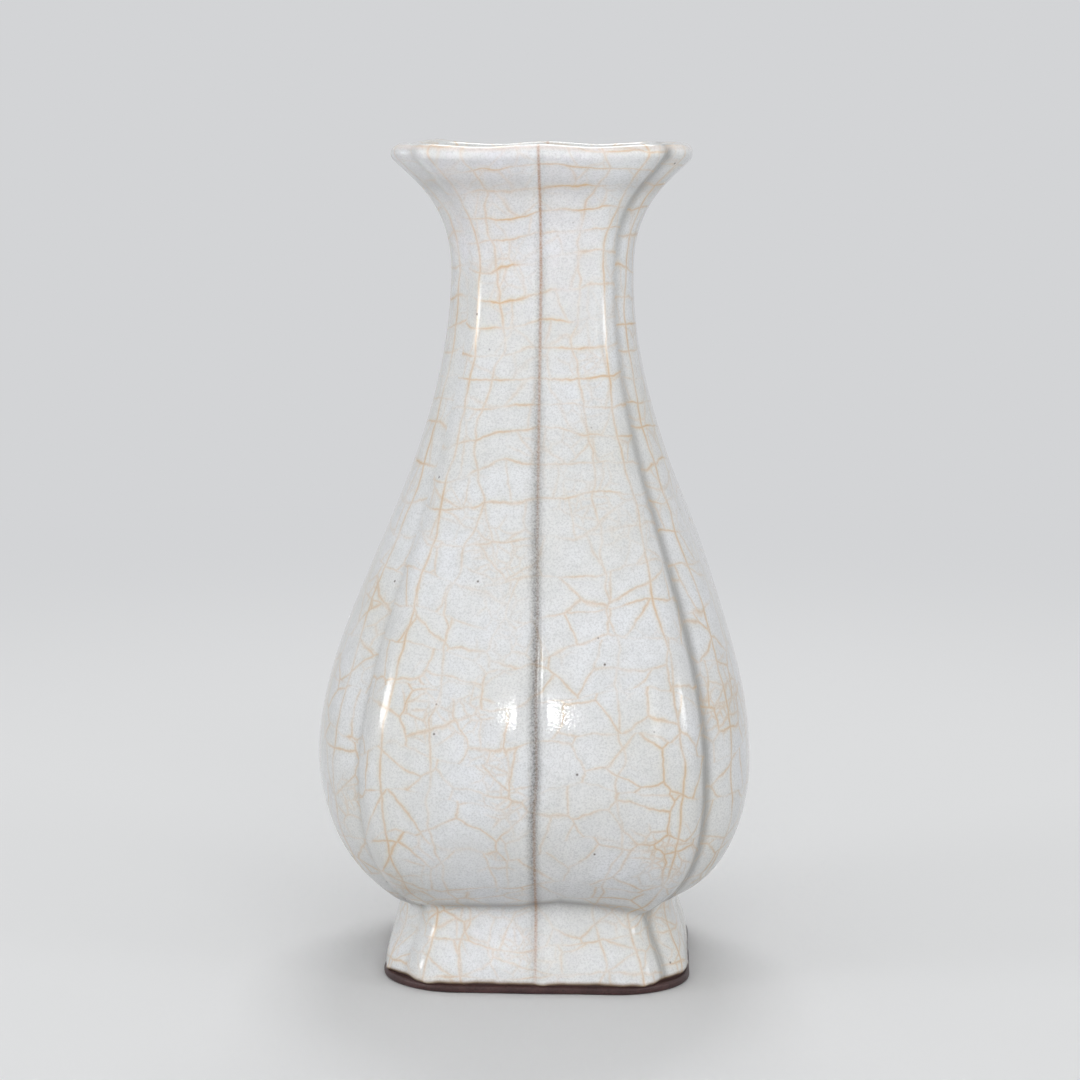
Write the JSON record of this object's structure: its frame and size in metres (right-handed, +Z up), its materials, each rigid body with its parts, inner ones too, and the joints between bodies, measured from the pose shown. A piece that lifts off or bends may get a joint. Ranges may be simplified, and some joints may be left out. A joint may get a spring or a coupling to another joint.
{
  "type": "vase",
  "caption": "Tall square vase with bowed, grooved sides and notched corners, narrow neck, full low belly and flared foot; holds water and flowers, or stands as an ornament.",
  "frame": {"origin": "centre of the foot rim's underside, on the table", "axes": "+Z up along the vase's axis through the mouth, -Y out of the front wall, +X out of the right wall"},
  "size_m": [0.116, 0.116, 0.22],
  "materials": {
    "crackle_glaze": "gloss glaze, pale blue-grey, with iron-stained crackle",
    "iron_rim": "bare dark clay with an iron dressing, satin"
  },
  "bodies": {
    "root": {"wall_front": "crackle_glaze", "wall_right": "crackle_glaze", "wall_back": "crackle_glaze", "wall_left": "crackle_glaze", "foot_front": "crackle_glaze", "foot_right": "crackle_glaze", "foot_back": "crackle_glaze", "foot_left": "crackle_glaze", "floor_slab": "crackle_glaze", "foot_rim": "iron_rim"}
  },
  "joints": []
}
